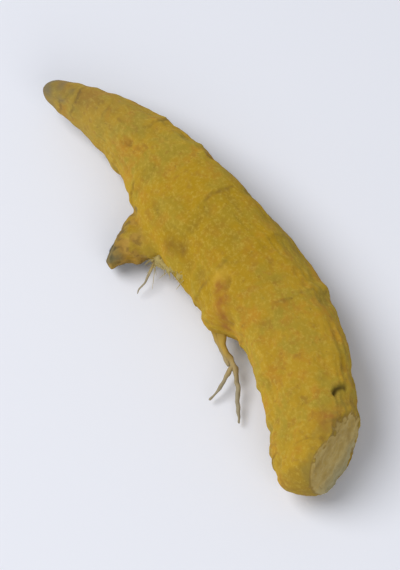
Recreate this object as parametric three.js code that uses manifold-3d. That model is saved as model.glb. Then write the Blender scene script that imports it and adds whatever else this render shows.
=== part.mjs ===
// Dried turmeric finger: one branched rhizome, 61 mm long, lying on its side.
// Millimetres, +Z up. +X runs from the thin bud end to the broken end, and z = 0 is the surface it lies on.
// The origin is the middle of the bounding box, at the bottom.

import * as THREE from "three";
import { mergeVertices } from "three/addons/utils/BufferGeometryUtils.js";
import Module from "manifold-3d";

// The main axis, from the bud to the broken end: where it passes, and the half sizes of the root there.
const MAIN = [
  { x: -30.4, y: -5.1, z: 4.4, wide: 1.1, high: 1.1 },
  { x: -27.9, y: -3.4, z: 4.3, wide: 2.0, high: 1.9 },
  { x: -22.8, y: -0.9, z: 4.3, wide: 3.2, high: 3.2 },
  { x: -15.8, y: 1.1, z: 4.5, wide: 4.3, high: 4.4 },
  { x: -7.8, y: 1.7, z: 5.4, wide: 5.5, high: 5.3 },
  { x: 0.0, y: 2.5, z: 6.0, wide: 5.9, high: 5.8 },
  { x: 7.0, y: 3.3, z: 6.0, wide: 6.1, high: 5.9 },
  { x: 14.1, y: 2.8, z: 5.7, wide: 5.8, high: 5.6 },
  { x: 21.0, y: 1.1, z: 5.2, wide: 5.2, high: 5.1 },
  { x: 26.0, y: -0.6, z: 5.1, wide: 5.0, high: 4.8 },
  { x: 31.0, y: -2.7, z: 5.5, wide: 4.8, high: 4.1 },
];
const BUD_ROUNDING = 1.5;
const BROKEN_END_ROUNDING = 2.4;

// The side shoot starts inside the main axis and ends blunt, with one ring near its end.
const SHOOT = [
  { x: -4.9, y: 1.9, z: 5.0, wide: 4.7, high: 4.3 },
  { x: -7.1, y: -2.8, z: 3.7, wide: 3.4, high: 3.0 },
  { x: -8.5, y: -6.0, z: 2.8, wide: 2.7, high: 2.6 },
  { x: -9.5, y: -9.5, z: 2.3, wide: 2.5, high: 2.4 },
];
const SHOOT_ROUNDING = 1.0;
const SHOOT_RIM_AT = 8.6;
const SHOOT_GROOVE_AT = 7.4;
const SHOOT_RING_WIDTH = 0.7;
const SHOOT_RING_RISE = 0.16;
const SHOOT_LUMPINESS = 0.14;
const SHOOT_WRINKLE_DEPTH = 0.08;

// Low swellings of the main axis, and a dent beside the thin roots: distance from the bud,
// angle round the axis with 90 on top, rise, and reach along and round the axis.
const SWELLINGS = [
  { from: 38.0, angle: 180, rise: 1.7, reach: 3.0, round: 52 },
  { from: 31.0, angle: 215, rise: 0.9, reach: 4.6, round: 40 },
  { from: 35.5, angle: 60, rise: 0.4, reach: 6.0, round: 50 },
  { from: 43.0, angle: 175, rise: -0.7, reach: 2.6, round: 45 },
];

// Leaf-scar rings: a rim with a groove behind it, closer together towards both ends.
const RING_COUNT = 12;
const RING_START = 3.2;
const RING_END = 60.0;
const RING_CROWDING = 0.55;
const RING_RISE = 0.22;
const RING_WIDTH = 0.75;
const RING_SWAY = 0.7;

// Round scars where thin roots came off, each a pit with a raised rim.
const ROOT_SCARS = [
  { from: 14.5, angle: 118, size: 0.9 },
  { from: 22.0, angle: 35, size: 0.8 },
  { from: 27.5, angle: 285, size: 1.0 },
  { from: 34.2, angle: 150, size: 1.1 },
  { from: 37.6, angle: 128, size: 0.9 },
  { from: 41.2, angle: 152, size: 1.0 },
  { from: 46.0, angle: 330, size: 1.0 },
  { from: 49.0, angle: 205, size: 0.8 },
  { from: 54.6, angle: 42, size: 1.2 },
];
const SCAR_DEPTH = 0.4;
const SCAR_RIM = 0.22;

// Slow unevenness of the whole root, and the lengthwise shrinkage wrinkles.
const LUMPINESS = 0.3;
const WRINKLE_DEPTH = 0.13;
const BUD_SHARE = 0.3;
const FULL_THICKNESS_FROM = 20;
const MEAN_RADIUS = 5.4;

// The oblique break at the thick end, and the blunt end of the side shoot.
const BREAK_FACING = new THREE.Vector3(0.85, 0.49, 0.18).normalize();
const BREAK_POINT = new THREE.Vector3(28.3, 0.0, 5.3);
const BREAK_ROUGHNESS = 0.18;
const SHOOT_END_FACING = new THREE.Vector3(-0.75, -0.58, 0.3).normalize();
const SHOOT_END_POINT = new THREE.Vector3(-9.3, -7.0, 3.0);
const SHOOT_END_ROUGHNESS = 0.12;
const WORN_EDGE = 0.25;

// Thin roots that are still attached. Each starts inside the root it grows from.
const THIN_ROOTS = [
  [
    { x: 5.8, y: -1.3, z: 4.6, wide: 0.75, high: 0.7 },
    { x: 7.8, y: -3.0, z: 3.6, wide: 0.6, high: 0.55 },
    { x: 9.5, y: -3.5, z: 2.8, wide: 0.5, high: 0.5 },
    { x: 11.1, y: -3.4, z: 2.2, wide: 0.45, high: 0.45 },
    { x: 13.2, y: -4.1, z: 1.7, wide: 0.4, high: 0.4 },
    { x: 15.4, y: -5.3, z: 1.2, wide: 0.36, high: 0.36 },
    { x: 17.4, y: -6.2, z: 0.9, wide: 0.3, high: 0.3 },
  ],
  [
    { x: 11.2, y: -3.5, z: 2.2, wide: 0.4, high: 0.4 },
    { x: 11.9, y: -4.8, z: 1.8, wide: 0.38, high: 0.38 },
    { x: 12.5, y: -6.1, z: 1.4, wide: 0.36, high: 0.36 },
    { x: 13.1, y: -7.7, z: 0.9, wide: 0.3, high: 0.3 },
  ],
  [
    { x: 2.8, y: -1.6, z: 4.2, wide: 0.9, high: 0.8 },
    { x: 4.6, y: -2.7, z: 3.8, wide: 0.75, high: 0.7 },
    { x: 7.3, y: -3.3, z: 3.0, wide: 0.6, high: 0.6 },
    { x: 9.4, y: -3.6, z: 2.3, wide: 0.5, high: 0.5 },
    { x: 11.0, y: -3.9, z: 2.0, wide: 0.36, high: 0.36 },
  ],
  [
    { x: -5.2, y: -3.9, z: 2.9, wide: 0.5, high: 0.5 },
    { x: -3.7, y: -6.4, z: 1.7, wide: 0.38, high: 0.38 },
    { x: -2.7, y: -8.3, z: 1.0, wide: 0.3, high: 0.3 },
  ],
];

// How finely each form is divided: rings along it, and sides round it.
const MAIN_GRID = { rings: 76, sides: 56, crowding: 0.55 };
const SHOOT_GRID = { rings: 16, sides: 32, crowding: 0.3 };
const THIN_ROOT_GRID = { rings: 9, sides: 6, crowding: 0.0 };

const DEGREE = Math.PI / 180;
const UP = new THREE.Vector3(0, 0, 1);

// Distances from the first station to each station, measured station to station.
function stationDistances(stations) {
  const distances = [0];
  for (let i = 1; i < stations.length; i += 1) {
    const a = stations[i - 1];
    const b = stations[i];
    distances.push(distances[i - 1] + Math.hypot(b.x - a.x, b.y - a.y, b.z - a.z));
  }
  return distances;
}

// One quantity at a distance along the stations: a cubic through them whose slope at each station
// is that of the line between its neighbours.
function quantityAt(stations, distances, name, distance) {
  const last = stations.length - 1;
  let i = 0;
  while (i < last - 1 && distances[i + 1] < distance) i += 1;
  const slopeAt = (k) => {
    const before = Math.max(k - 1, 0);
    const after = Math.min(k + 1, last);
    return (stations[after][name] - stations[before][name]) / (distances[after] - distances[before]);
  };
  const gap = distances[i + 1] - distances[i];
  const t = (distance - distances[i]) / gap;
  const t2 = t * t;
  const t3 = t2 * t;
  return (
    (2 * t3 - 3 * t2 + 1) * stations[i][name] +
    (t3 - 2 * t2 + t) * gap * slopeAt(i) +
    (3 * t2 - 2 * t3) * stations[i + 1][name] +
    (t3 - t2) * gap * slopeAt(i + 1)
  );
}

// Place and directions at a distance along the stations: forward along the axis, sideways level,
// upward square to both.
function axisAt(stations, distances, distance) {
  const at = (d) =>
    new THREE.Vector3(...["x", "y", "z"].map((name) => quantityAt(stations, distances, name, d)));
  const step = 0.01;
  const point = at(distance);
  const forward = at(distance + step).sub(at(distance - step)).normalize();
  const sideways = new THREE.Vector3().crossVectors(UP, forward).normalize();
  const upward = new THREE.Vector3().crossVectors(forward, sideways);
  return { point, sideways, upward };
}

// Quarter-round ending: 0 at the very end, 1 from the rounding distance on.
function rounding(distance, size) {
  const t = Math.min(Math.max(distance / size, 0), 1);
  return Math.sqrt(1 - (1 - t) ** 2);
}

// A closed limb: oval sections along the stations, raised by relief(distance, angle), closed by a point
// at each end.
function limb(stations, grid, startRounding, endRounding, relief, finish) {
  const distances = stationDistances(stations);
  const length = distances[distances.length - 1];
  const points = [];
  for (let ring = 0; ring <= grid.rings; ring += 1) {
    const share = ring / grid.rings;
    const distance = length * (share - (grid.crowding * Math.sin(2 * Math.PI * share)) / (2 * Math.PI));
    const { point, sideways, upward } = axisAt(stations, distances, distance);
    const end = rounding(distance, startRounding) * rounding(length - distance, endRounding);
    const wide = quantityAt(stations, distances, "wide", distance);
    const high = quantityAt(stations, distances, "high", distance);
    const isPole = ring === 0 || ring === grid.rings;
    const sides = isPole ? 1 : grid.sides;
    for (let side = 0; side < sides; side += 1) {
      const angle = (2 * Math.PI * side) / grid.sides;
      const raised = relief(distance, angle);
      const across = isPole ? 0 : (wide + raised) * end * Math.cos(angle);
      const above = isPole ? 0 : (high + raised) * end * Math.sin(angle);
      const place = point.clone().addScaledVector(sideways, across).addScaledVector(upward, above);
      points.push(finish(place));
    }
  }
  const lastPole = points.length - 1;
  const indexOf = (ring, side) => {
    if (ring === 0) return 0;
    if (ring === grid.rings) return lastPole;
    return 1 + (ring - 1) * grid.sides + (side % grid.sides);
  };
  const triangles = [];
  for (let ring = 0; ring < grid.rings; ring += 1) {
    for (let side = 0; side < grid.sides; side += 1) {
      const a = indexOf(ring, side);
      const b = indexOf(ring, side + 1);
      const c = indexOf(ring + 1, side + 1);
      const d = indexOf(ring + 1, side);
      if (ring > 0) triangles.push(a, b, c);
      if (ring < grid.rings - 1) triangles.push(a, c, d);
    }
  }
  return { points, triangles };
}

// Smooth hump of height 1 at a distance and angle on the main axis.
function hump(distance, angle, from, at, reach, round) {
  const turn = Math.atan2(Math.sin(angle - at), Math.cos(angle - at));
  return Math.exp(-(((distance - from) / reach) ** 2) - (turn / round) ** 2);
}

function swellings(distance, angle) {
  return SWELLINGS.reduce(
    (sum, s) => sum + s.rise * hump(distance, angle, s.from, s.angle * DEGREE, s.reach, s.round * DEGREE),
    0,
  );
}

function lumps(distance, angle) {
  return (
    LUMPINESS *
    (0.9 * Math.cos(2 * angle + 0.16 * distance - 4.3) +
      0.7 * Math.cos(3 * angle - 0.23 * distance + 9.1) +
      0.5 * Math.cos(angle + 0.31 * distance - 9.4))
  );
}

// Distance from the bud to each leaf-scar ring.
const ringPlaces = Array.from({ length: RING_COUNT }, (_, k) => {
  const share = k / (RING_COUNT - 1);
  const crowded = share - (RING_CROWDING * Math.sin(2 * Math.PI * share)) / (2 * Math.PI);
  return RING_START + (RING_END - RING_START) * crowded;
});

function rings(distance, angle) {
  return ringPlaces.reduce((sum, place, k) => {
    const sway = RING_SWAY * (Math.sin(angle + 2.4 * k) + 0.4 * Math.sin(2 * angle + 1.7 * k));
    const past = distance - place - sway;
    const rim = Math.exp(-((past / RING_WIDTH) ** 2));
    const groove = Math.exp(-(((past - 1.4 * RING_WIDTH) / RING_WIDTH) ** 2));
    return sum + RING_RISE * (rim - 0.8 * groove);
  }, 0);
}

function wrinkles(distance, angle) {
  const slow = 0.6 + 0.4 * Math.cos(0.31 * distance + 2 * angle);
  const coarse = Math.cos(9 * angle + 0.22 * distance);
  const fine = Math.cos(13 * angle - 0.37 * distance);
  return WRINKLE_DEPTH * slow * (coarse + 0.6 * fine);
}

function rootScars(distance, angle) {
  return ROOT_SCARS.reduce((sum, scar) => {
    const turn = angle - scar.angle * DEGREE;
    const across = MEAN_RADIUS * Math.atan2(Math.sin(turn), Math.cos(turn));
    const away = Math.hypot(distance - scar.from, across) / scar.size;
    return sum + SCAR_RIM * Math.exp(-(((away - 1.3) / 0.5) ** 2)) - SCAR_DEPTH * Math.exp(-(away ** 2));
  }, 0);
}

// The fine relief is in proportion to the root, so it is fainter towards the thin bud.
function mainRelief(distance, angle) {
  const thickness = BUD_SHARE + (1 - BUD_SHARE) * Math.min(distance / FULL_THICKNESS_FROM, 1);
  const fine = lumps(distance, angle) + rings(distance, angle) + wrinkles(distance, angle);
  return swellings(distance, angle) + rootScars(distance, angle) + thickness * fine;
}

function shootRelief(distance, angle) {
  const rim = Math.exp(-(((distance - SHOOT_RIM_AT) / SHOOT_RING_WIDTH) ** 2));
  const groove = Math.exp(-(((distance - SHOOT_GROOVE_AT) / SHOOT_RING_WIDTH) ** 2));
  const lump = Math.cos(3 * angle + 0.5 * distance);
  const wrinkle = Math.cos(7 * angle - 0.4 * distance);
  return SHOOT_RING_RISE * (rim - groove) + SHOOT_LUMPINESS * lump + SHOOT_WRINKLE_DEPTH * wrinkle;
}

// A rough broken face: whatever stands past the plane is pushed back onto it, give or take the roughness,
// and the rim is worn round.
function brokenFace(place, facing, point, roughness) {
  const uneven = Math.sin(2.1 * place.x + 3.3 * place.z) + Math.sin(2.9 * place.y - 1.7 * place.z + 1.0);
  const past = facing.dot(place) - facing.dot(point) - 0.5 * roughness * uneven;
  return place.addScaledVector(facing, -WORN_EDGE * Math.log(1 + Math.exp(past / WORN_EDGE)));
}

function solidOf(wasm, { points, triangles }) {
  return new wasm.Manifold(
    new wasm.Mesh({
      numProp: 3,
      vertProperties: new Float32Array(points.flatMap((p) => [p.x, p.y, p.z])),
      triVerts: new Uint32Array(triangles),
    }),
  );
}

// The slab below z = 0, which leaves the small flats that the root lies on.
function groundSlab(wasm) {
  const size = { x: 90, y: 60, depth: 10 };
  const box = new THREE.BoxGeometry(size.x, size.y, size.depth).translate(0, 0, -size.depth / 2);
  box.deleteAttribute("normal");
  box.deleteAttribute("uv");
  const shared = mergeVertices(box);
  const positions = shared.getAttribute("position");
  const points = Array.from({ length: positions.count }, (_, i) =>
    new THREE.Vector3().fromBufferAttribute(positions, i),
  );
  return solidOf(wasm, { points, triangles: Array.from(shared.index.array) });
}

const wasm = await Module();
wasm.setup();

function turmericFinger() {
  const plain = () => 0;
  const asIs = (place) => place;
  const main = limb(MAIN, MAIN_GRID, BUD_ROUNDING, BROKEN_END_ROUNDING, mainRelief, (place) =>
    brokenFace(place, BREAK_FACING, BREAK_POINT, BREAK_ROUGHNESS),
  );
  const shoot = limb(SHOOT, SHOOT_GRID, SHOOT_ROUNDING, SHOOT_ROUNDING, shootRelief, (place) =>
    brokenFace(place, SHOOT_END_FACING, SHOOT_END_POINT, SHOOT_END_ROUGHNESS),
  );
  let root = solidOf(wasm, main).add(solidOf(wasm, shoot));
  for (const stations of THIN_ROOTS) {
    root = root.add(solidOf(wasm, limb(stations, THIN_ROOT_GRID, 0.3, 0.3, plain, asIs)));
  }
  const { vertProperties, triVerts } = root.subtract(groundSlab(wasm)).getMesh();
  const geometry = new THREE.BufferGeometry();
  geometry.setAttribute("position", new THREE.BufferAttribute(new Float32Array(vertProperties), 3));
  geometry.setIndex(new THREE.BufferAttribute(new Uint32Array(triVerts), 1));
  geometry.computeVertexNormals();
  geometry.computeBoundingBox();
  const middle = geometry.boundingBox.getCenter(new THREE.Vector3());
  geometry.translate(-middle.x, -middle.y, 0);
  const skin = new THREE.MeshStandardMaterial({ color: 0xb58c2c, roughness: 0.93, metalness: 0 });
  const mesh = new THREE.Mesh(geometry, skin);
  mesh.name = "turmeric_finger";
  return mesh;
}

const part = new THREE.Group();
part.add(turmericFinger());

export default part;
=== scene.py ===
"""Dried turmeric finger: a bent, branched rhizome with a thin bud end, a blunt side shoot,
a broken thick end and a few thin roots, lying on a pale surface. Shapes are worked out in
millimetres in the part's own frame and put into meshes in metres."""

import math

import bpy
import numpy as np
from mathutils import Matrix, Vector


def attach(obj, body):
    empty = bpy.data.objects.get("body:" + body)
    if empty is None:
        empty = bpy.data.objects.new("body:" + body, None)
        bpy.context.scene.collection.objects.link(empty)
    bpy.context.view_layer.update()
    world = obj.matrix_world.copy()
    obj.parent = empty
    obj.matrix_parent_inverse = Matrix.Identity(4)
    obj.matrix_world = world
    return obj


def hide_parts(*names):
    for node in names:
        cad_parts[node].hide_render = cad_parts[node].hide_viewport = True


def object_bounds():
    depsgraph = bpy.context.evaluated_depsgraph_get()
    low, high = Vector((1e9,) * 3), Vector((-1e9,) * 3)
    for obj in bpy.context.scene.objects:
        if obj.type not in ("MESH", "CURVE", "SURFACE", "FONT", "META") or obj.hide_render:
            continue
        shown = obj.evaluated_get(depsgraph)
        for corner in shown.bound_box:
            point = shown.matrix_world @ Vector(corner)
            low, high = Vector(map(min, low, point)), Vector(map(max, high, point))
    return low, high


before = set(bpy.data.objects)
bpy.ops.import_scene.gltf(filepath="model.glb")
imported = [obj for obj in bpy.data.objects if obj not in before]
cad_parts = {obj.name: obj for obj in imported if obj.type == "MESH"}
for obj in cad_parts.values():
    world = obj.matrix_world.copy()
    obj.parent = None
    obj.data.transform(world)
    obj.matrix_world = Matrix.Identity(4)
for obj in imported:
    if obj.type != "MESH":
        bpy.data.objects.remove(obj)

CAD_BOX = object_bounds()
NODE = "turmeric_finger"
BODY = "root"
MM = 0.001

# Stations of each limb: x, y, z of its axis, then half its width and half its height.
MAIN = np.array([
    (-30.4, -5.1, 4.4, 1.1, 1.1),
    (-27.9, -3.4, 4.3, 2.0, 1.9),
    (-22.8, -0.9, 4.3, 3.2, 3.2),
    (-15.8, 1.1, 4.5, 4.3, 4.4),
    (-7.8, 1.7, 5.4, 5.5, 5.3),
    (0.0, 2.5, 6.0, 5.9, 5.8),
    (7.0, 3.3, 6.0, 6.1, 5.9),
    (14.1, 2.8, 5.7, 5.8, 5.6),
    (21.0, 1.1, 5.2, 5.2, 5.1),
    (26.0, -0.6, 5.1, 5.0, 4.8),
    (31.0, -2.7, 5.5, 4.8, 4.1),
])
BUD_ROUNDING = 1.5
BROKEN_END_ROUNDING = 2.4

SHOOT = np.array([
    (-4.9, 1.9, 5.0, 4.7, 4.3),
    (-7.1, -2.8, 3.7, 3.4, 3.0),
    (-8.5, -6.0, 2.8, 2.7, 2.6),
    (-9.5, -9.5, 2.3, 2.5, 2.4),
])
SHOOT_ROUNDING = 1.0

# Low swellings of the main axis, and a dent beside the thin roots: distance from the bud, angle (90 is
# on top), rise, reach, reach round.
SWELLINGS = (
    (38.0, 180, 1.7, 3.0, 52),
    (31.0, 215, 0.9, 4.6, 40),
    (35.5, 60, 0.4, 6.0, 50),
    (43.0, 175, -0.7, 2.6, 45),
)

# Slow lumps and lengthwise wrinkles of the main axis, as waves: number round the root, radians per
# millimetre along it, phase and share. The wrinkles come and go with one wave more.
LUMPINESS = 0.3
LUMP_WAVES = (
    (2, 0.16, -4.3, 0.9),
    (3, -0.23, 9.1, 0.7),
    (1, 0.31, -9.4, 0.5),
)
WRINKLE_DEPTH = 0.09
WRINKLE_WAVES = (
    (9, 0.22, 0.0, 1.0),
    (13, -0.37, 0.0, 0.6),
)
WRINKLE_MEAN = 0.6
WRINKLE_CHANGE = ((2, 0.31, 0.0, 0.4),)

# The relief fades towards the bud: its share at the very end, and where it is whole.
BUD_SHARE = 0.3
FULL_RELIEF_FROM = 20.0

# Leaf-scar rings: a rim with a groove behind it, closer together towards both ends. The sway's waves
# have their number round the root, phase per ring and share.
RING_COUNT = 12
RING_START = 3.2
RING_END = 60.0
RING_CROWDING = 0.55
RING_RISE = 0.16
RING_WIDTH = 0.75
RING_GROOVE_BEHIND = 1.4
RING_GROOVE_SHARE = 0.8
RING_SWAY = 0.7
RING_SWAY_WAVES = (
    (1, 2.4, 1.0),
    (2, 1.7, 0.4),
)

# The torn scale on each ring: the number round the root of each wave that its edge wanders in, its rise
# to a sharp step, the undercut below the step and the shadow line there.
TORN_WAVES = (5, 9, 14, 23, 37)
TORN_WANDER = 0.9
TORN_RISE = 0.12
TORN_REACH = 0.9
TORN_STEP = 0.05
TORN_SEED = 11
UNDERCUT_DEPTH = 0.06
UNDERCUT_PLACE = 0.1
UNDERCUT_WIDTH = 0.16
SHADOW_PLACE = 0.08
SHADOW_WIDTH = 0.17

# Where the skin carries torn rings and where it carries furrows: wavelength and seed of the waves, and
# the two levels between which a patch comes in.
TORN_PATCHES = (9.0, 71, -0.5, 0.6)
FURROWED_PATCHES = (11.0, 72, -0.8, 1.2)

# Furrows: depth, seed, fewest and most waves round the root. Their slant is the most radians per
# millimetre along it.
FURROWS = (
    (0.038, 5, 14, 40),
    (0.02, 8, 34, 58),
)
FURROW_COUNT = 30
FURROW_SLANT = 0.8

# The radius that turns an angle into a way over the surface, for pits and marks.
MEAN_RADIUS = 5.4

# Small round pits, in the stretch of the root that has them.
PIT_COUNT = 130
PIT_STRETCH = (3, 62)
PIT_SIZES = (0.16, 0.42)
PIT_DEPTHS = (0.04, 0.13)
PIT_SEED = 23

# Unevenness in every direction, as waves: height, wavelength and seed.
SKIN_WAVES = (
    (0.07, 4.5, 9),
    (0.04, 2.0, 1),
    (0.022, 0.9, 2),
)
WAVE_COUNT = 28
WAVELENGTH_SPREAD = (0.7, 1.4)

# Scars and marks on the skin: distance from the bud, angle, size.
ROOT_SCARS = (
    (14.5, 118, 0.9),
    (22.0, 35, 0.8),
    (27.5, 285, 1.0),
    (34.2, 150, 1.1),
    (37.6, 128, 0.9),
    (41.2, 152, 1.0),
    (46.0, 330, 1.0),
    (49.0, 205, 0.8),
)
REDDISH_MARKS = (
    (37.1, 136, 0.7),
    (39.0, 143, 0.9),
    (40.2, 154, 0.7),
    (41.0, 170, 0.8),
    (58.0, 78, 1.3),
)
BROWN_MARKS = (
    (28.5, 156, 0.9),
    (30.2, 152, 0.7),
    (60.2, 88, 0.55),
)
YELLOW_MARKS = (
    (36.2, 129, 0.9),
)
YELLOW_RISE = 0.3
BROWN_DEPTH = 0.15

# Profile of a root scar, with places and widths in scar sizes.
SCAR_DEPTH = 0.28
SCAR_RIM = 0.14
SCAR_RIM_PLACE = 1.3
SCAR_RIM_WIDTH = 0.5
SCAR_STUMP = 0.2
SCAR_STUMP_WIDTH = 0.35

# A curved crack, part of a circle whose middle and radius are given as a mark's. Its side is a direction
# along and across the root, and it fades in between two cosines of the angle from that side.
CRACK = (55.3, 51, 1.35)
CRACK_HALF_WIDTH = 0.32
CRACK_DEPTH = 0.3
CRACK_SIDE = (-0.92, 0.39)
CRACK_FADE = (0.5, 0.8)

# The side shoot's one ring, and its ridges, furrows and unevenness, given as those of the main axis are.
SHOOT_RING_RISE = 0.16
SHOOT_RING_RIM = 8.6
SHOOT_RING_GROOVE = 7.4
SHOOT_RING_WIDTH = 0.7
SHOOT_RIDGES = (
    (3, 0.5, 0.0, 0.14),
    (7, -0.4, 0.0, 0.08),
)
SHOOT_FURROWS = (0.04, 6, 14, 40)
SHOOT_WAVES = (
    (0.09, 2.0, 3),
    (0.04, 0.9, 4),
)

# The oblique break at the thick end, and the blunt end of the side shoot.
BREAK_FACING = np.array((0.85, 0.49, 0.18)) / math.hypot(0.85, 0.49, 0.18)
BREAK_POINT = np.array((28.3, 0.0, 5.3))
BREAK_ROUGHNESS = 0.18
SHOOT_END_FACING = np.array((-0.75, -0.58, 0.3)) / math.hypot(0.75, 0.58, 0.3)
SHOOT_END_POINT = np.array((-9.3, -7.0, 3.0))
SHOOT_END_ROUGHNESS = 0.12
WORN_EDGE = 0.25

# What roughens a broken face: ripples, as radians per millimetre along x, y and z and a phase, then
# steps and fibres as waves, and the share of each of the three.
BREAK_RIPPLES = (
    (2.1, 0.0, 3.3, 0.0),
    (0.0, 2.9, -1.7, 1.0),
)
BREAK_STEP_WAVES = ((2.5, 5.0, 17),)
BREAK_FIBRE_WAVES = (
    (0.3, 1.6, 7),
    (0.35, 0.6, 8),
)
RIPPLE_SHARE = 0.4
STEP_SHARE = 0.4
FIBRE_SHARE = 0.35

# Where each colour of the skin comes in. A pair gives the two values between which it does, and waves
# make its edge uneven. First the side shoot's skin: distance along the shoot, and way off its surface.
SHOOT_SKIN_FROM = (5.0, 8.0)
SHOOT_SKIN_AWAY = (0.9, 0.3)
# The shoot's blunt end: distance past the end, and the most that a point may stand off the shoot.
SHOOT_END_FROM = (-0.7, -0.05)
SHOOT_END_AWAY = 1.0
# The dark dried corner of that end.
SHOOT_CORNER = np.array((-7.1, -9.0, 3.7))
SHOOT_CORNER_SIZE = 1.1
SHOOT_CORNER_WAVES = ((0.15, 0.9, 53),)
# The broken face: distance past the break's mean plane, and share of the radius.
BREAK_FROM = (-0.5, -0.25)
BREAK_WITHIN = (0.99, 0.88)
BREAK_EDGE_WAVES = ((0.04, 0.9, 52),)
# The stained skin beside the break: distance past the break.
NEAR_BREAK_FROM = (-2.4, 0.0)
NEAR_BREAK_WAVES = ((0.5, 2.2, 51),)
# The grey bud, which fades in two stretches: the share of each and its distances from the bud.
BUD_FADES = (
    (0.7, -0.6, 4.2),
    (0.3, 3.0, 20.0),
)
BUD_WAVES = ((0.8, 1.8, 31),)
# The deepest gold: distance from the bud, and reach.
MIDDLE_PLACE = 31.0
MIDDLE_REACH = 8.0

# The thin roots, with stations like a limb's: a long one along the side, its branch, a stouter one
# beside it and a single one near the side shoot. Each is a little crooked.
THIN_ROOTS = (
    np.array([
        (5.8, -1.3, 4.6, 0.75, 0.75),
        (7.8, -3.0, 3.6, 0.52, 0.52),
        (9.5, -3.5, 2.8, 0.4, 0.4),
        (11.1, -3.4, 2.2, 0.34, 0.34),
        (13.2, -4.1, 1.7, 0.28, 0.28),
        (15.4, -5.3, 1.2, 0.24, 0.24),
        (17.4, -6.2, 0.9, 0.14, 0.14),
    ]),
    np.array([
        (11.2, -3.5, 2.2, 0.3, 0.3),
        (11.9, -4.8, 1.8, 0.25, 0.25),
        (12.5, -6.1, 1.4, 0.22, 0.22),
        (13.1, -7.7, 0.9, 0.13, 0.13),
    ]),
    np.array([
        (2.8, -1.6, 4.2, 0.9, 0.9),
        (4.6, -2.7, 3.8, 0.7, 0.7),
        (7.3, -3.3, 3.0, 0.5, 0.5),
        (9.4, -3.6, 2.3, 0.36, 0.36),
        (11.0, -3.9, 2.0, 0.2, 0.2),
    ]),
    np.array([
        (-5.2, -3.9, 2.9, 0.3, 0.3),
        (-3.7, -6.4, 1.7, 0.14, 0.14),
        (-2.7, -8.3, 1.0, 0.08, 0.08),
    ]),
)
THIN_ROOT_ROUNDING = 0.2
THIN_ROOT_CROOK = 0.05
THIN_ROOT_CROOK_LENGTH = 1.3
THIN_ROOT_SEED = 40

# A torn scale in the lower angle between the side shoot and the main axis: the line it grows from, how
# far it stands out along that line, and the radius of its outward and downward curl.
FRAY_LINE = np.array([
    (-4.9, -4.6, 3.2),
    (-3.4, -4.2, 4.6),
    (-1.6, -3.7, 5.6),
    (0.1, -3.4, 6.3),
    (1.6, -3.2, 6.8),
])
FRAY_REACH = (0.5, 1.2, 0.9, 0.8, 0.2)
FRAY_CURL = 0.9
FRAY_THICKNESS = 0.07
FRAY_ROUNDING = 0.4
FRAY_EDGE_WAVES = (
    (0.3, 1.7, 61),
    (0.12, 0.5, 62),
)
FRAY_SEED = 77

# The scale's fibres, which crowd towards its lower end. Each starts inside the root, near the line,
# leans along x, y and z by a mean and a spread, and is bent halfway.
FIBRE_COUNT = 54
FIBRE_CROWDING = 1.7
FIBRE_SCATTER = 0.12
FIBRE_INWARD = (0, 0.15, 0)
FIBRE_LEAN = (
    (0.1, 0.7),
    (-0.9, 0.25),
    (-0.1, 0.4),
)
FIBRE_BEND = 0.5
FIBRE_SAG = (0, 0, 0.4)
FIBRE_LENGTHS = (0.8, 1.7)
FIBRE_RADII = (0.03, 0.06)
FIBRE_TIP = 0.4
FIBRE_ROUNDING = 0.1

# Rings along each limb, sides round it and how much the rings crowd towards its ends.
MAIN_GRID = (400, 200, 0.55)
SHOOT_GRID = (90, 110, 0.3)
THIN_ROOT_GRID = (60, 10, 0.0)
FIBRE_GRID = (14, 6, 0.0)
FLAP_GRID = (160, 40, 0.0)

# Patterns in the skin and the broken face: size in millimetres, detail and roughness of each. The real
# dust and grain are finer than the smallest of them, which are drawn coarse enough to show.
SKIN_PATTERNS = {
    "olive_clouds": (3.5, 5.0, 0.55),
    "amber_clouds": (2.0, 5.0, 0.55),
    "brown_clouds": (1.0, 4.0, 0.55),
    "pale_dust": (0.4, 5.0, 0.65),
    "dark_specks": (0.6, 2.0, 0.55),
    "ring_gaps": (2.0, 3.0, 0.55),
    "reddish_gaps": (0.9, 3.0, 0.55),
    "brown_gaps": (0.7, 3.0, 0.55),
    "shoot_clouds": (1.7, 4.0, 0.55),
    "shoot_mottling": (0.9, 4.0, 0.55),
    "break_clouds": (1.4, 4.0, 0.55),
    "horn_clouds": (1.6, 5.0, 0.55),
    "horn_grain": (0.35, 5.0, 0.7),
    "skin_grain": (0.38, 7.0, 0.7),
}

# Layers of colour over a first one, from the bottom up: the colour, the mark that it keeps to, its
# strength there, and what else it follows, each with two levels of that and the layer's share at each.
# The mottled colour is the side shoot's skin, and the horn colour is the broken face.
MOTTLED_COLOUR = "#B48E42"
MOTTLED_LAYERS = (
    ("#8C6A34", "everywhere", 1.0, ("shoot_mottling", 0.46, 0.62, 0.0, 1.0)),
)
HORN_COLOUR = "#C0AB70"
HORN_LAYERS = (
    ("#B39B5E", "everywhere", 1.0, ("horn_clouds", 0.35, 0.65, 0.0, 1.0)),
    ("#B8994A", "everywhere", 1.0, ("horn_grain", 0.4, 0.7, 0.0, 0.6)),
    ("#9A7F48", "everywhere", 0.4, ("radial", 0.58, 0.66, 0.0, 1.0), ("radial", 0.76, 0.68, 0.0, 1.0)),
    ("#A6A68C", "everywhere", 1.0, ("level", 5.5 * MM, 1.5 * MM, 0.0, 0.7)),
)
SKIN_COLOUR = "#BA9628"
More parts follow.
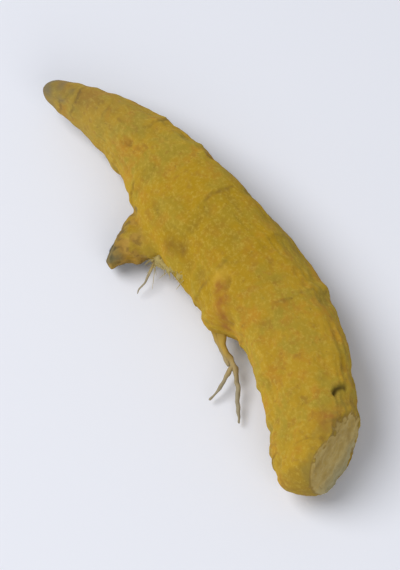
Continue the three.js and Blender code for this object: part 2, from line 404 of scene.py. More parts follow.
SKIN_LAYERS = (
    ("#B69014", "middle", 1.0),
    ("#A89232", "everywhere", 1.0, ("olive_clouds", 0.42, 0.64, 0.0, 0.85)),
    ("#BE8A2A", "everywhere", 1.0, ("amber_clouds", 0.46, 0.68, 0.0, 0.7)),
    ("#A27E2E", "everywhere", 1.0, ("brown_clouds", 0.52, 0.72, 0.0, 0.6)),
    ("#AA8A18", "middle", 0.5),
    # Painted shade: a darker brown wherever the skin lies below its smooth surface, in grooves, pits and
    # scars.
    ("#8A6E2A", "everywhere", 1.0, ("height", -0.03, -0.42, 0.0, 0.4)),
    ("#CCB14C", "everywhere", 1.0, ("pale_dust", 0.46, 0.72, 0.0, 0.55)),
    ("#7C5C28", "everywhere", 1.0, ("dark_specks", 0.68, 0.76, 0.0, 0.35)),
    ("#755A2A", "ring_line", 1.0, ("ring_gaps", 0.35, 0.6, 0.15, 0.6)),
    ("#8A662C", "everywhere", 1.0, ("scar", 0.2, 1.0, 0.0, 0.28)),
    ("#D0AA3C", "yellow", 0.7),
    ("#A3682E", "reddish", 1.0, ("reddish_gaps", 0.35, 0.6, 0.35, 0.85)),
    ("#7A5422", "brown", 1.0, ("brown_gaps", 0.3, 0.55, 0.25, 0.55)),
    ("#463810", "crack", 0.9),
    ("mottled", "shoot", 1.0, ("shoot_clouds", 0.4, 0.6, 0.2, 0.8)),
    ("#7E6A40", "shoot_end", 1.0, ("shoot_mottling", 0.38, 0.62, 0.15, 0.85)),
    # Painted shade: the side shoot's blunt end and its skin turn dark olive grey below these heights, on
    # their lower side towards the floor.
    ("#66604A", "shoot_end", 1.0, ("level", 3.4 * MM, 1.8 * MM, 0.0, 0.75)),
    ("#5C5640", "shoot", 1.0, ("level", 2.8 * MM, 1.2 * MM, 0.0, 0.8)),
    ("#6E694B", "shoot_corner", 0.9),
    ("#9A8238", "near_break", 1.0, ("break_clouds", 0.35, 0.62, 0.25, 0.8)),
    ("horn", "broken", 0.9),
    ("#86692E", "broken", 2.2, ("broken", 0.0, 1.0, 1.0, 0.0)),
    ("#7E7358", "bud", 0.9),
)

# Darkest and palest colour of each fibre, the heights between which the roots' dust thickens, and the
# size of the blotches in millimetres.
THIN_ROOT_COLOURS = ("#82775F", "#ACA284")
THIN_ROOT_DUST = (1.6, 3.3)
SCALE_COLOURS = ("#8A7436", "#C8B874")
DUST_COLOUR = "#B29138"
BLOTCH_SIZE = 0.5

# The camera: the way it faces, how high it stands and how far it is rolled, in degrees, then what it
# looks at, from how far, and its lens.
CAMERA_HEADING = 156.0
CAMERA_ELEVATION = 62.9
CAMERA_ROLL = -6.0
CAMERA_TARGET = np.array((2.2, -2.5, 6.0))
CAMERA_DISTANCE = 480.8
CAMERA_LENS = 269.0
CAMERA_CLIP = (0.01, 20)

# Round lights: name, place and power in watts. Their size is in metres.
LIGHTS = (
    ("softbox", (-210, -300, 580), 3.55),
    ("front_fill", (500, -60, 350), 1.15),
)
LIGHT_SIZE = 0.5
LIGHT_TARGET = (0, 0, 5)
SKY_COLOUR = "#EEF1F6"
SKY_STRENGTH = 0.3
FLOOR_COLOUR = "#E7E9F1"
FLOOR_SIZE = 4000.0


def smoothstep(low, high, value):
    """3t^2 - 2t^3, where t goes from 0 at the low level to 1 at the high one."""
    t = np.clip((value - low) / (high - low), 0, 1)
    return t * t * (3 - 2 * t)


def bell(value, middle, width):
    """exp(-((value - middle) / width)^2)."""
    return np.exp(-(((value - middle) / width) ** 2))


def way_round(angle, start):
    """The angle from a start, between minus and plus half a turn."""
    return np.arctan2(np.sin(angle - start), np.cos(angle - start))


def turning_waves(distance, angle, parts):
    """Sum of share x cos(number x angle + pitch x distance + phase)."""
    return sum(
        share * np.cos(number * angle + pitch * distance + phase)
        for number, pitch, phase, share in parts
    )


def waves(points, wavelength, seed):
    """Smooth unevenness of about unit size: cosines in random directions, near one wavelength, summed."""
    rng = np.random.default_rng(seed)
    directions = rng.normal(size=(WAVE_COUNT, 3))
    directions /= np.linalg.norm(directions, axis=1, keepdims=True)
    turns = 2 * np.pi / wavelength * rng.uniform(*WAVELENGTH_SPREAD, WAVE_COUNT)
    phases = rng.uniform(0, 2 * np.pi, WAVE_COUNT)
    heights = np.cos(points @ (directions * turns[:, None]).T + phases)
    return heights.sum(-1) * math.sqrt(2 / WAVE_COUNT)


def summed_waves(points, parts):
    """Sum of height x waves of a wavelength and a seed."""
    return sum(height * waves(points, wavelength, seed) for height, wavelength, seed in parts)


def patches(points, wavelength, seed, low, high):
    """0 where the waves are under the low level, rising smoothly to 1 at the high one."""
    return smoothstep(low, high, waves(points, wavelength, seed))


def stations_at(stations, distance):
    """The five quantities of a limb at distances along it: a cubic through the stations whose
    slope at each station is that of the line between its neighbours."""
    steps = np.linalg.norm(np.diff(stations[:, :3], axis=0), axis=1)
    marks = np.concatenate(([0.0], np.cumsum(steps)))
    before = np.maximum(np.arange(len(marks)) - 1, 0)
    after = np.minimum(np.arange(len(marks)) + 1, len(marks) - 1)
    slopes = (stations[after] - stations[before]) / (marks[after] - marks[before])[:, None]
    i = np.clip(np.searchsorted(marks, distance) - 1, 0, len(marks) - 2)
    gap = (marks[i + 1] - marks[i])[..., None]
    t = (np.asarray(distance)[..., None] - marks[i][..., None]) / gap
    return (
        (2 * t**3 - 3 * t**2 + 1) * stations[i]
        + (t**3 - 2 * t**2 + t) * gap * slopes[i]
        + (3 * t**2 - 2 * t**3) * stations[i + 1]
        + (t**3 - t**2) * gap * slopes[i + 1]
    )


def limb_length(stations):
    """Sum of the straight lines between a limb's stations."""
    return float(np.linalg.norm(np.diff(stations[:, :3], axis=0), axis=1).sum())


def axis_directions(stations, distance, step=0.01):
    """Forward along the axis, from a short step either way, sideways level and upward square to both."""
    ahead = stations_at(stations, distance + step)[..., :3]
    behind = stations_at(stations, distance - step)[..., :3]
    forward = ahead - behind
    forward /= np.linalg.norm(forward, axis=-1, keepdims=True)
    sideways = np.cross((0.0, 0.0, 1.0), forward)
    sideways /= np.linalg.norm(sideways, axis=-1, keepdims=True)
    return forward, sideways, np.cross(forward, sideways)


def rounding(distance, size):
    """Quarter-round ending: 0 at the very end, 1 from the rounding distance on."""
    return np.sqrt(1 - (1 - np.clip(distance / size, 0, 1)) ** 2)


def hump(distance, angle, start, at, reach, reach_round):
    """exp(-(distance away / reach)^2 - (angle away / reach round)^2)."""
    return np.exp(-(((distance - start) / reach) ** 2) - (way_round(angle, at) / reach_round) ** 2)


def swellings(distance, angle):
    """Sum of rise x hump."""
    return sum(
        rise * hump(distance, angle, start, math.radians(at), reach, math.radians(wide))
        for start, at, rise, reach, wide in SWELLINGS
    )


def lumps(distance, angle):
    """Slow waves round the root that turn as they run along it."""
    return LUMPINESS * turning_waves(distance, angle, LUMP_WAVES)


def wrinkles(distance, angle):
    """Ridges along the root that turn as they run and come and go."""
    strength = WRINKLE_MEAN + turning_waves(distance, angle, WRINKLE_CHANGE)
    return WRINKLE_DEPTH * strength * turning_waves(distance, angle, WRINKLE_WAVES)


def ring_places():
    """Even steps from the first ring to the last, less a sine that crowds them towards both ends."""
    share = np.arange(RING_COUNT) / (RING_COUNT - 1)
    crowded = share - RING_CROWDING * np.sin(2 * np.pi * share) / (2 * np.pi)
    return RING_START + (RING_END - RING_START) * crowded


def past_ring(distance, angle, k, place):
    """How far a point lies past a ring that sways round the root."""
    sway = sum(share * np.sin(number * angle + phase * k) for number, phase, share in RING_SWAY_WAVES)
    return distance - place - RING_SWAY * sway


def rings(distance, angle):
    """Each ring rises as one bell curve and drops as another just behind it."""
    total = 0
    for k, place in enumerate(ring_places()):
        past = past_ring(distance, angle, k, place)
        groove = bell(past, RING_GROOVE_BEHIND * RING_WIDTH, RING_WIDTH)
        total = total + RING_RISE * (bell(past, 0, RING_WIDTH) - RING_GROOVE_SHARE * groove)
    return total


def past_torn_edges(distance, angle):
    """Distance past the ragged edge of each ring's torn scale: the ring's own, plus cosines with more
    and more waves round the root, each as high as the wander over their number."""
    rng = np.random.default_rng(TORN_SEED)
    for k, place in enumerate(ring_places()):
        past = past_ring(distance, angle, k, place)
        for number in TORN_WAVES:
            past = past + TORN_WANDER / number * np.cos(number * angle + rng.uniform(0, 2 * np.pi))
        yield past


def torn_rings(distance, angle, strength):
    """The torn scale edge of each ring: it rises as half a bell curve, ends in a sharp step and is
    undercut there."""
    total = 0
    for past in past_torn_edges(distance, angle):
        step = 1 / (1 + np.exp(-past / TORN_STEP))
        scale = TORN_RISE * (1 - step) * bell(past, 0, TORN_REACH)
        total = total + strength * (scale - UNDERCUT_DEPTH * bell(past, UNDERCUT_PLACE, UNDERCUT_WIDTH))
    return total


def ring_lines(distance, angle, strength):
    """1 in the thin shadow line under each torn edge."""
    return sum(
        strength * bell(past, SHADOW_PLACE, SHADOW_WIDTH)
        for past in past_torn_edges(distance, angle)
    )


def furrows(distance, angle, depth, seed, fewest, most):
    """Shrinkage furrows about a millimetre apart and several long: cosines with many waves round
    the root and few along it, summed."""
    rng = np.random.default_rng(seed)
    total = 0
    for _ in range(FURROW_COUNT):
        number = rng.integers(fewest, most)
        slant = rng.uniform(-FURROW_SLANT, FURROW_SLANT)
        total = total + np.cos(number * angle + slant * distance + rng.uniform(0, 2 * np.pi))
    return depth * total * math.sqrt(2 / FURROW_COUNT)


def pits(distance, angle, reach=3):
    """Small round pits scattered over the skin, each a bell curve out to a reach of its own size."""
    rng = np.random.default_rng(PIT_SEED)
    total = np.zeros_like(distance)
    for _ in range(PIT_COUNT):
        start, at = rng.uniform(*PIT_STRETCH), rng.uniform(0, 2 * np.pi)
        size, depth = rng.uniform(*PIT_SIZES), rng.uniform(*PIT_DEPTHS)
        near = np.abs(distance - start) < reach * size
        across = MEAN_RADIUS * way_round(angle[near], at)
        away = np.hypot(distance[near] - start, across) / size
        total[near] -= depth * np.exp(-(away**2))
    return total


def from_mark(distance, angle, mark):
    """Way from a mark's middle over the surface, along and across the root, in mark sizes."""
    start, at, size = mark
    across = MEAN_RADIUS * way_round(angle, math.radians(at))
    return (distance - start) / size, across / size


def marks_at(distance, angle, marks):
    """1 in the middle of each mark, dropping as a bell curve."""
    return sum(np.exp(-np.hypot(*from_mark(distance, angle, mark)) ** 2) for mark in marks)


def root_scars(distance, angle):
    """A pit, a raised rim round it and the stump of the old root in the middle."""
    total = 0
    for scar in ROOT_SCARS:
        away = np.hypot(*from_mark(distance, angle, scar))
        rim = SCAR_RIM * bell(away, SCAR_RIM_PLACE, SCAR_RIM_WIDTH)
        pit = SCAR_DEPTH * np.exp(-(away**2))
        stump = SCAR_STUMP * np.exp(-((away / SCAR_STUMP_WIDTH) ** 4))
        total = total + rim - pit + stump
    return total


def crack_at(distance, angle, tiny=0.01):
    """1 in the curved crack: a bell curve across a circle, on the side that faces the bud and the top."""
    along, across = from_mark(distance, angle, CRACK)
    away = np.hypot(along, across)
    cosine = (CRACK_SIDE[0] * along + CRACK_SIDE[1] * across) / (away + tiny)
    _, _, radius = CRACK
    return bell(away * radius, radius, CRACK_HALF_WIDTH) * smoothstep(*CRACK_FADE, cosine)


def main_relief(distance, angle, points):
    """Swellings and marks, plus lumps, rings, wrinkles and fine relief that fade towards the bud."""
    share = BUD_SHARE + (1 - BUD_SHARE) * np.minimum(distance / FULL_RELIEF_FROM, 1)
    shaped = lumps(distance, angle) + rings(distance, angle) + wrinkles(distance, angle)
    furrowed = patches(points, *FURROWED_PATCHES) * sum(furrows(distance, angle, *row) for row in FURROWS)
    torn = torn_rings(distance, angle, patches(points, *TORN_PATCHES))
    fine = furrowed + torn + pits(distance, angle) + summed_waves(points, SKIN_WAVES)
    marked = (
        root_scars(distance, angle)
        + YELLOW_RISE * marks_at(distance, angle, YELLOW_MARKS)
        - BROWN_DEPTH * marks_at(distance, angle, BROWN_MARKS)
        - CRACK_DEPTH * crack_at(distance, angle)
    )
    return swellings(distance, angle) + marked + share * (shaped + fine)


def shoot_relief(distance, angle, points):
    """One ring, a few ridges, furrows and unevenness."""
    rim = bell(distance, SHOOT_RING_RIM, SHOOT_RING_WIDTH)
    groove = bell(distance, SHOOT_RING_GROOVE, SHOOT_RING_WIDTH)
    shaped = SHOOT_RING_RISE * (rim - groove) + turning_waves(distance, angle, SHOOT_RIDGES)
    return shaped + furrows(distance, angle, *SHOOT_FURROWS) + summed_waves(points, SHOOT_WAVES)


def flap_relief(distance, angle, points):
    """The uneven edge of the torn scale."""
    return summed_waves(points, FRAY_EDGE_WAVES)


def no_relief(distance, angle, points):
    """0 everywhere."""
    return np.zeros_like(distance)


def limb(stations, grid, start_rounding, end_rounding, relief):
    """A closed limb: oval sections square to the axis, (width + relief) cos angle sideways and
    (height + relief) sin angle upward, drawn in to a point at each end."""
    rows, sides, crowding = grid
    share = np.linspace(0, 1, rows + 1)
    length = limb_length(stations)
    along = length * (share - crowding * np.sin(2 * np.pi * share) / (2 * np.pi))
    distance, angle = np.meshgrid(along, 2 * np.pi * np.arange(sides) / sides, indexing="ij")
    here = stations_at(stations, distance)
    _, sideways, upward = axis_directions(stations, distance)
    end = rounding(distance, start_rounding) * rounding(length - distance, end_rounding)

    def placed(raised):
        """The limb's surface with its width and height raised."""
        across = ((here[..., 3] + raised) * end * np.cos(angle))[..., None]
        above = ((here[..., 4] + raised) * end * np.sin(angle))[..., None]
        return here[..., :3] + across * sideways + above * upward

    smooth = placed(np.zeros_like(distance))
    points = placed(relief(distance, angle, smooth))
    body = points[1:-1].reshape(-1, 3)
    vertices = np.vstack((points[:1, 0], body, points[-1:, 0]))
    corner = 1 + sides * np.arange(rows - 1)[:, None] + np.arange(sides)[None, :]
    beside = np.roll(corner, -1, axis=1)
    near_halves = np.stack((corner[:-1], beside[:-1], beside[1:]), -1).reshape(-1, 3)
    far_halves = np.stack((corner[:-1], beside[1:], corner[1:]), -1).reshape(-1, 3)
    start_fan = np.stack((np.zeros(sides, int), beside[0], corner[0]), -1)
    end_fan = np.stack((np.full(sides, len(vertices) - 1), corner[-1], beside[-1]), -1)
    return vertices, np.vstack((near_halves, far_halves, start_fan, end_fan))


def past_break(points, facing, point, roughness):
    """How far points stand past a broken plane, less its roughness x (sines for ripples, a steep tanh of
    waves for steps and finer waves for fibres)."""
    x, y, z = points[..., 0], points[..., 1], points[..., 2]
    rippled = sum(
        np.sin(along_x * x + along_y * y + along_z * z + phase)
        for along_x, along_y, along_z, phase in BREAK_RIPPLES
    )
    stepped = np.tanh(summed_waves(points, BREAK_STEP_WAVES))
    fibrous = summed_waves(points, BREAK_FIBRE_WAVES)
    uneven = RIPPLE_SHARE * rippled + STEP_SHARE * stepped + FIBRE_SHARE * fibrous
    return (points - point) @ facing - roughness * uneven


def broken_off(points, facing, point, roughness):
    """Whatever stands past the rough plane is pushed back onto it, and the rim is worn round."""
    past = past_break(points, facing, point, roughness)
    pushed = WORN_EDGE * np.logaddexp(0, past / WORN_EDGE)
    return points - pushed[..., None] * facing


def kept_inside(points, band=0.35):
    """Points held to the part's own box: squeezed smoothly within a narrow band of each side, and cut
    off flat at the surface that it lies on."""
    low = np.array(CAD_BOX[0]) / MM
    high = np.array(CAD_BOX[1]) / MM
    over = np.maximum(points - (high - band), 0)
    points = np.where(over > 0, high - band * np.exp(-over / band), points)
    under = np.maximum(low + band - points, 0)
    squeezed = np.where(under > 0, low + band * np.exp(-under / band), points)
    squeezed[..., 2] = np.maximum(points[..., 2], 0)
    return squeezed


def mesh_object(name, points, triangles):
    """A smooth mesh of triangles, from points in millimetres."""
    mesh = bpy.data.meshes.new(name)
    mesh.vertices.add(len(points))
    mesh.vertices.foreach_set("co", (points * MM).astype(np.float32).ravel())
    mesh.loops.add(triangles.size)
    mesh.loops.foreach_set("vertex_index", triangles.astype(np.int32).ravel())
    mesh.polygons.add(len(triangles))
    mesh.polygons.foreach_set("loop_start", np.arange(0, triangles.size, 3, dtype=np.int32))
    mesh.update(calc_edges=True)
    mesh.shade_smooth()
    thing = bpy.data.objects.new(name, mesh)
    bpy.context.scene.collection.objects.link(thing)
    return thing


def joined(base, other):
    """Base and other as one closed surface. Other is used up."""
    union = base.modifiers.new("join", "BOOLEAN")
    union.operation = "UNION"
    union.solver = "MANIFOLD"
    union.object = other
    graph = bpy.context.evaluated_depsgraph_get()
    mesh = bpy.data.meshes.new_from_object(base.evaluated_get(graph))
    base.modifiers.remove(union)
    base.data = mesh
    bpy.data.objects.remove(other)
    mesh.shade_smooth()
    return base


def vertices_of(mesh):
    """A mesh's points in millimetres."""
    flat = np.empty(3 * len(mesh.vertices), np.float32)
    mesh.vertices.foreach_get("co", flat)
    return flat.reshape(-1, 3).astype(float) / MM


def round_axis(points, stations, samples=500, chunk_size=8000):
    """For each point, the distance along the limb, the angle round it and the distance from its axis,
    from the nearest of many samples of the axis."""
    marks = np.linspace(0, limb_length(stations), samples)
    line = stations_at(stations, marks)[:, :3]
    _, sideways, upward = axis_directions(stations, marks)
    distance = np.empty(len(points))
    angle = np.empty(len(points))
    away = np.empty(len(points))
    for start in range(0, len(points), chunk_size):
        chunk = slice(start, start + chunk_size)
        gaps = points[chunk, None, :] - line[None]
        nearest = (gaps**2).sum(-1).argmin(1)
        gap = gaps[np.arange(len(nearest)), nearest]
        across = (gap * sideways[nearest]).sum(-1)
        above = (gap * upward[nearest]).sum(-1)
        distance[chunk] = marks[nearest]
        angle[chunk] = np.arctan2(above, across)
        away[chunk] = np.hypot(across, above)
    return distance, angle, away


def smooth_radius(distance, angle, stations):
    """Radius of the oval section at an angle: width x height / hypot(height cos, width sin)."""
    here = stations_at(stations, distance)
    wide, high = here[:, 3], here[:, 4]
    return wide * high / np.hypot(high * np.cos(angle), wide * np.sin(angle))


def soften_joint(thing, limbs, reach=0.9, rounds=24, pull=0.6):
    """The crease where two limbs meet is relaxed: points near both surfaces move towards the
    mean of their neighbours, and others hardly move."""
    mesh = thing.data
    points = vertices_of(mesh)
    off = sum((away - radius) ** 2 for away, radius in limbs)
    weight = np.exp(-off / reach**2)[:, None]
    edges = np.empty(2 * len(mesh.edges), np.int32)
    mesh.edges.foreach_get("vertices", edges)
    edges = edges.reshape(-1, 2)
    count = np.bincount(edges.ravel(), minlength=len(points))[:, None]
    for _ in range(rounds):
        total = np.stack([
            np.bincount(edges[:, 0], points[edges[:, 1], k], len(points))
            + np.bincount(edges[:, 1], points[edges[:, 0], k], len(points))
            for k in range(3)
        ], -1)
        points = points + pull * weight * (total / count - points)
    mesh.vertices.foreach_set("co", (points * MM).astype(np.float32).ravel())
    mesh.update()
    return points


def skin_marks(points, main_place, main_radius, shoot_place, shoot_radius):
    """A value at each point for every mark that a colour keeps to. A place is a point's distance along
    a limb, its angle round it and its distance from the axis."""
    distance, angle, away = main_place
    shoot_distance, _, shoot_away = shoot_place
    height = away - main_radius
    shoot_height = shoot_away - shoot_radius
    on_shoot = np.abs(shoot_height) < np.abs(height)
    on_main = 1 - on_shoot
    radial = away / main_radius
    beyond = smoothstep(*BREAK_FROM, (points - BREAK_POINT) @ BREAK_FACING)
    past = past_break(points, BREAK_FACING, BREAK_POINT, BREAK_ROUGHNESS)
    past_end = past_break(points, SHOOT_END_FACING, SHOOT_END_POINT, SHOOT_END_ROUGHNESS)
    near_axis = shoot_away < shoot_radius + SHOOT_END_AWAY
    outward = smoothstep(*SHOOT_SKIN_FROM, shoot_distance)
    from_corner = np.linalg.norm(points - SHOOT_CORNER, axis=1) + summed_waves(points, SHOOT_CORNER_WAVES)
    from_bud = distance + summed_waves(points, BUD_WAVES)
    lines = ring_lines(distance, angle, patches(points, *TORN_PATCHES))
    marks = {
        "height": np.where(on_shoot, shoot_height, height),
        "radial": radial,
        "middle": bell(from_bud, MIDDLE_PLACE, MIDDLE_REACH),
        "bud": 1 - sum(share * smoothstep(low, high, from_bud) for share, low, high in BUD_FADES),
        "shoot": outward * smoothstep(*SHOOT_SKIN_AWAY, np.abs(shoot_height)),
        "shoot_end": smoothstep(*SHOOT_END_FROM, past_end) * near_axis,
        "shoot_corner": bell(from_corner, 0, SHOOT_CORNER_SIZE),
        "broken": beyond * smoothstep(*BREAK_WITHIN, radial + summed_waves(points, BREAK_EDGE_WAVES)),
        "near_break": smoothstep(*NEAR_BREAK_FROM, past + summed_waves(points, NEAR_BREAK_WAVES)),
        "ring_line": np.clip(lines * on_main, 0, 1),
        "crack": crack_at(distance, angle),
    }
    spots = {"scar": ROOT_SCARS, "reddish": REDDISH_MARKS, "brown": BROWN_MARKS, "yellow": YELLOW_MARKS}
    for name, places in spots.items():
        marks[name] = np.clip(marks_at(distance, angle, places), 0, 1) * on_main
    return marks


def make_rhizome():
    """The main axis and the side shoot, each broken off at its end, as one closed surface."""
    trunk, trunk_faces = limb(MAIN, MAIN_GRID, BUD_ROUNDING, BROKEN_END_ROUNDING, main_relief)
    trunk = broken_off(trunk, BREAK_FACING, BREAK_POINT, BREAK_ROUGHNESS)
    shoot, shoot_faces = limb(SHOOT, SHOOT_GRID, SHOOT_ROUNDING, SHOOT_ROUNDING, shoot_relief)
    shoot = broken_off(shoot, SHOOT_END_FACING, SHOOT_END_POINT, SHOOT_END_ROUGHNESS)
    rhizome = mesh_object("rhizome", kept_inside(trunk), trunk_faces)
    rhizome = joined(rhizome, mesh_object("shoot", kept_inside(shoot), shoot_faces))
    points = vertices_of(rhizome.data)
    main_place = round_axis(points, MAIN)
    shoot_place = round_axis(points, SHOOT)
    slow_relief = swellings(*main_place[:2]) + lumps(*main_place[:2])
    main_radius = smooth_radius(*main_place[:2], MAIN) + slow_relief
    shoot_radius = smooth_radius(*shoot_place[:2], SHOOT)
    points = soften_joint(rhizome, ((main_place[2], main_radius), (shoot_place[2], shoot_radius)))
    marks = skin_marks(points, main_place, main_radius, shoot_place, shoot_radius)
    for name, values in marks.items():
        attribute = rhizome.data.attributes.new(name, "FLOAT", "POINT")
        attribute.data.foreach_set("value", values.astype(np.float32))
    rhizome.data.materials.clear()
    rhizome.data.materials.append(dusty_rhizome_skin(marks))
    return rhizome


def one_mesh(name, parts):
    """Closed surfaces as one mesh, with each one's faces counted on from those before it."""
    counts = np.cumsum([0] + [len(points) for points, _ in parts])
    faces = [triangles + count for (_, triangles), count in zip(parts, counts)]
    return mesh_object(name, kept_inside(np.vstack([points for points, _ in parts])), np.vstack(faces))


def make_thin_roots():
    """All the thin roots as one piece: each a tapering, slightly crooked tube."""
    parts = []
    for k, stations in enumerate(THIN_ROOTS):
        tube, faces = limb(stations, THIN_ROOT_GRID, THIN_ROOT_ROUNDING, THIN_ROOT_ROUNDING, no_relief)
        seeds = THIN_ROOT_SEED + 3 * k + np.arange(3)
        crook = np.stack([waves(tube, THIN_ROOT_CROOK_LENGTH, seed) for seed in seeds], -1)
        parts.append((tube + THIN_ROOT_CROOK * crook, faces))
    thin_roots = one_mesh("thin_roots", parts)
    thin_roots.data.materials.append(fibre("dried_root_fibre", THIN_ROOT_COLOURS, THIN_ROOT_DUST))
    return thin_roots


def make_flap():
    """The torn scale: a thin ragged flap along the fray's line that curls on an arc. A point w out from
    the line goes to radius x sin(w / radius) out and radius x (1 - cos(w / radius)) down."""
    thickness = np.full(len(FRAY_LINE), FRAY_THICKNESS)
    stations = np.column_stack((FRAY_LINE, FRAY_REACH, thickness))
    flap, faces = limb(stations, FLAP_GRID, FRAY_ROUNDING, FRAY_ROUNDING, flap_relief)
    base = np.interp(flap[:, 0], FRAY_LINE[:, 0], FRAY_LINE[:, 1])
    turn = np.maximum(base - flap[:, 1], 0) / FRAY_CURL
    flap[:, 1] += FRAY_CURL * (turn - np.sin(turn))
    flap[:, 2] -= FRAY_CURL * (1 - np.cos(turn))
    return flap, faces


def make_fibre(rng):
    """A short tapering tube that starts near the fray's line, leans outward, and bends and sags from
    halfway on."""
    marks = np.arange(len(FRAY_LINE))
    share = marks[-1] * rng.uniform(0, 1) ** FIBRE_CROWDING
    start = np.array([np.interp(share, marks, FRAY_LINE[:, axis]) for axis in range(3)])
    start = start + rng.normal(0, FIBRE_SCATTER, 3) + FIBRE_INWARD
    lean = np.array([rng.normal(mean, spread) for mean, spread in FIBRE_LEAN])
    half = 0.5 * rng.uniform(*FIBRE_LENGTHS)
    middle = start + half * lean
    tip = middle + half * (lean + rng.normal(0, FIBRE_BEND, 3) - FIBRE_SAG)
    thick = rng.uniform(*FIBRE_RADII)
    thin = FIBRE_TIP * thick
    stations = np.array([(*start, thick, thick), (*middle, thick, thick), (*tip, thin, thin)])
    return limb(stations, FIBRE_GRID, FIBRE_ROUNDING, FIBRE_ROUNDING, no_relief)


def make_fray():
    """The torn scale with its fibres as one piece."""
    rng = np.random.default_rng(FRAY_SEED)
    fray = one_mesh("frayed_scale", [make_flap()] + [make_fibre(rng) for _ in range(FIBRE_COUNT)])
    fray.data.materials.append(fibre("frayed_scale_fibre", SCALE_COLOURS))
    return fray


def linear(hex_colour):
    """An sRGB hex colour as linear RGBA: a channel is divided by 12.92 near black, and is otherwise
    ((channel + 0.055) / 1.055)^2.4."""
    rgb = [int(hex_colour[start:start + 2], 16) / 255 for start in (1, 3, 5)]
    return [c / 12.92 if c <= 0.04045 else ((c + 0.055) / 1.055) ** 2.4 for c in rgb] + [1.0]


def add_node(tree, kind, settings=None, inputs=None):
    """A node with its settings. Each input is linked to another node's output, or set to a number or
    to an sRGB hex colour."""
    node = tree.nodes.new(kind)
    for name, value in (settings or {}).items():
        setattr(node, name, value)
    for key, value in (inputs or {}).items():
        if isinstance(value, bpy.types.NodeSocket):
            tree.links.new(value, node.inputs[key])
        else:
            node.inputs[key].default_value = linear(value) if isinstance(value, str) else value
    return node


def new_material(name):
    """An empty material, with its tree."""
    material = bpy.data.materials.new(name)
    material.use_nodes = True
    material.node_tree.nodes.clear()
    return material, material.node_tree


# Socket numbers of the colour Mix node.
MIX_FACTOR, MIX_A, MIX_B, MIX_OUT = 0, 6, 7, 2


def layered(tree, values, colour, layers):
    """A colour under layers of others. A layer's share is its strength, times its mark, times a smooth
    step between two levels of everything else that it follows. Marks, patterns and mixed colours are
    looked up by name in the values."""
    for over, mark, strength, *steps in layers:
        share = add_node(tree, "ShaderNodeMath", {"operation": "MULTIPLY"}, {0: values[mark], 1: strength})
        for name, low, high, at_low, at_high in steps:
            step = add_node(tree, "ShaderNodeMapRange", {"interpolation_type": "SMOOTHSTEP"}, {
                "Value": values[name],
                "From Min": low, "From Max": high, "To Min": at_low, "To Max": at_high})
            share = add_node(tree, "ShaderNodeMath", {"operation": "MULTIPLY"}, {
                0: share.outputs["Value"], 1: step.outputs["Result"]})
        mixed = add_node(tree, "ShaderNodeMix", {"data_type": "RGBA"}, {
            MIX_FACTOR: share.outputs["Value"], MIX_A: colour, MIX_B: values.get(over, over)})
        colour = mixed.outputs[MIX_OUT]
    return colour


def dusty_rhizome_skin(marks):
    """Cork-like dried skin of a cured rhizome under its own yellow dust. It is quite dull, gold on the
    rises, browner in the grooves as painted shade, deepest gold in the middle of the root and greyer
    towards the bud, with olive and amber clouds a few millimetres across. The side shoot and its blunt
    end carry painted shade, dark olive grey towards their lower side. The broken face is pale, like horn."""
    material, tree = new_material("dusty_rhizome_skin")
    place = add_node(tree, "ShaderNodeTexCoord").outputs["Object"]
    level = add_node(tree, "ShaderNodeSeparateXYZ", inputs={0: place}).outputs["Z"]
    values = {"everywhere": 1.0, "level": level}
    for name in marks:
        values[name] = add_node(tree, "ShaderNodeAttribute", {"attribute_name": name}).outputs["Fac"]
    for name, (size, detail, roughness) in SKIN_PATTERNS.items():
        noise = add_node(tree, "ShaderNodeTexNoise", inputs={
            "Vector": place, "Scale": 1 / (size * MM), "Detail": detail, "Roughness": roughness})
        values[name] = noise.outputs["Fac"]
    values["mottled"] = layered(tree, values, MOTTLED_COLOUR, MOTTLED_LAYERS)
    values["horn"] = layered(tree, values, HORN_COLOUR, HORN_LAYERS)
    colour = layered(tree, values, SKIN_COLOUR, SKIN_LAYERS)
    grain = add_node(tree, "ShaderNodeBump", inputs={
        "Strength": 0.65, "Distance": 0.09 * MM, "Height": values["skin_grain"]})
    surface = add_node(tree, "ShaderNodeBsdfPrincipled", inputs={
        "Base Color": colour, "Roughness": 0.92, "Diffuse Roughness": 0.8, "Specular IOR Level": 0.2,
        "Normal": grain.outputs["Normal"]})
    add_node(tree, "ShaderNodeOutputMaterial", inputs={"Surface": surface.outputs["BSDF"]})
    return material


def fibre(name, colours, dust=None):
    """A dull plant fibre, blotched between two colours and slightly rough. Where it is dusty, yellow
    dust thickens evenly between two heights."""
    material, tree = new_material(name)
    dark, pale = colours
    place = add_node(tree, "ShaderNodeTexCoord").outputs["Object"]
    blotch = add_node(tree, "ShaderNodeTexNoise", inputs={
        "Vector": place, "Scale": 1 / (BLOTCH_SIZE * MM), "Detail": 6.0, "Roughness": 0.7})
    colour = add_node(tree, "ShaderNodeMix", {"data_type": "RGBA"}, {
        MIX_FACTOR: blotch.outputs["Fac"], MIX_A: dark, MIX_B: pale})
    if dust:
        low, high = dust
        level = add_node(tree, "ShaderNodeSeparateXYZ", inputs={0: place}).outputs["Z"]
        dusty = add_node(tree, "ShaderNodeMapRange", inputs={
            "Value": level, "From Min": low * MM, "From Max": high * MM})
        colour = add_node(tree, "ShaderNodeMix", {"data_type": "RGBA"}, {
            MIX_FACTOR: dusty.outputs["Result"], MIX_A: colour.outputs[MIX_OUT], MIX_B: DUST_COLOUR})
    rough = add_node(tree, "ShaderNodeBump", inputs={
        "Strength": 0.5, "Distance": 0.06 * MM, "Height": blotch.outputs["Fac"]})
    surface = add_node(tree, "ShaderNodeBsdfPrincipled", inputs={
        "Base Color": colour.outputs[MIX_OUT], "Roughness": 0.85, "Normal": rough.outputs["Normal"]})
    add_node(tree, "ShaderNodeOutputMaterial", inputs={"Surface": surface.outputs["BSDF"]})
    return material


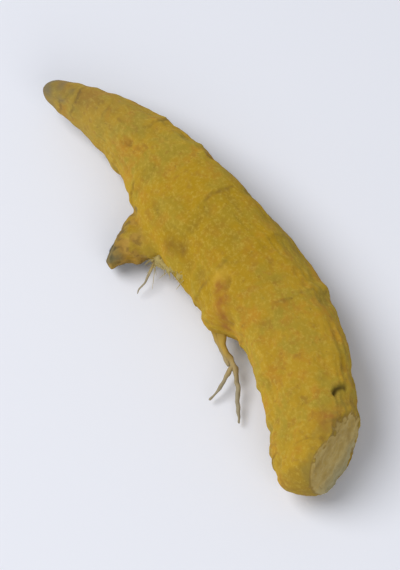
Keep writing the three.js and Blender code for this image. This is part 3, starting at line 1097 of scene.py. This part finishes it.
def pale_floor():
    """Matt board, painted a slightly blue white: it takes soft shadows and mirrors nothing."""
    material, tree = new_material("pale_floor")
    surface = add_node(tree, "ShaderNodeBsdfPrincipled", inputs={
        "Base Color": FLOOR_COLOUR, "Roughness": 0.8})
    add_node(tree, "ShaderNodeOutputMaterial", inputs={"Surface": surface.outputs["BSDF"]})
    return material


def make_floor():
    """A flat square at z = 0."""
    half = FLOOR_SIZE / 2
    corners = np.array([(-half, -half, 0), (half, -half, 0), (half, half, 0), (-half, half, 0)])
    floor = mesh_object("floor", corners, np.array([(0, 1, 2), (0, 2, 3)]))
    floor.data.materials.append(pale_floor())


def aim(thing, place, target, right=None):
    """Puts a thing at a place, looking at a target, with its right side along a direction."""
    forward = np.array(target, float) - np.array(place, float)
    forward /= np.linalg.norm(forward)
    right = np.cross(forward, (0, 0, 1.0)) if right is None else np.array(right, float)
    right = right - right @ forward * forward
    right /= np.linalg.norm(right)
    up = np.cross(right, forward)
    turn = np.eye(4)
    turn[:3, :3] = np.stack((right, up, -forward), -1)
    turn[:3, 3] = np.array(place) * MM
    thing.matrix_world = Matrix(turn.tolist())


def make_camera():
    """The photograph's place and direction, 0.48 m from the root, through a long lens."""
    data = bpy.data.cameras.new("camera")
    camera = bpy.data.objects.new("camera", data)
    bpy.context.scene.collection.objects.link(camera)
    heading, elevation, roll = np.radians((CAMERA_HEADING, CAMERA_ELEVATION, CAMERA_ROLL))
    level = np.array((math.sin(heading), -math.cos(heading), 0.0))
    across = math.cos(elevation)
    away = np.array((-math.cos(heading) * across, -math.sin(heading) * across, math.sin(elevation)))
    right = math.cos(roll) * level + math.sin(roll) * np.cross(level, -away)
    aim(camera, CAMERA_TARGET + CAMERA_DISTANCE * away, CAMERA_TARGET, right)
    data.lens = CAMERA_LENS
    data.clip_start, data.clip_end = CAMERA_CLIP
    bpy.context.scene.camera = camera


def make_light(name, place, power):
    """A round light at a place, facing the root."""
    data = bpy.data.lights.new(name, "AREA")
    data.shape = "DISK"
    data.size = LIGHT_SIZE
    data.energy = power
    light = bpy.data.objects.new(name, data)
    bpy.context.scene.collection.objects.link(light)
    aim(light, place, LIGHT_TARGET)


def make_sky():
    """An even, dim and slightly blue light from all round."""
    world = bpy.data.worlds.new("studio")
    bpy.context.scene.world = world
    world.use_nodes = True
    background = world.node_tree.nodes["Background"]
    background.inputs["Color"].default_value = linear(SKY_COLOUR)
    background.inputs["Strength"].default_value = SKY_STRENGTH
    bpy.context.scene.view_settings.view_transform = "Standard"


def main():
    """Camera, lights, sky and floor, then the root's three pieces, attached to the body with the imported
    part hidden.
    """
    make_camera()
    for name, place, power in LIGHTS:
        make_light(name, place, power)
    make_sky()
    make_floor()
    for piece in (make_rhizome(), make_thin_roots(), make_fray()):
        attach(piece, BODY)
        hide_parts(NODE)


main()
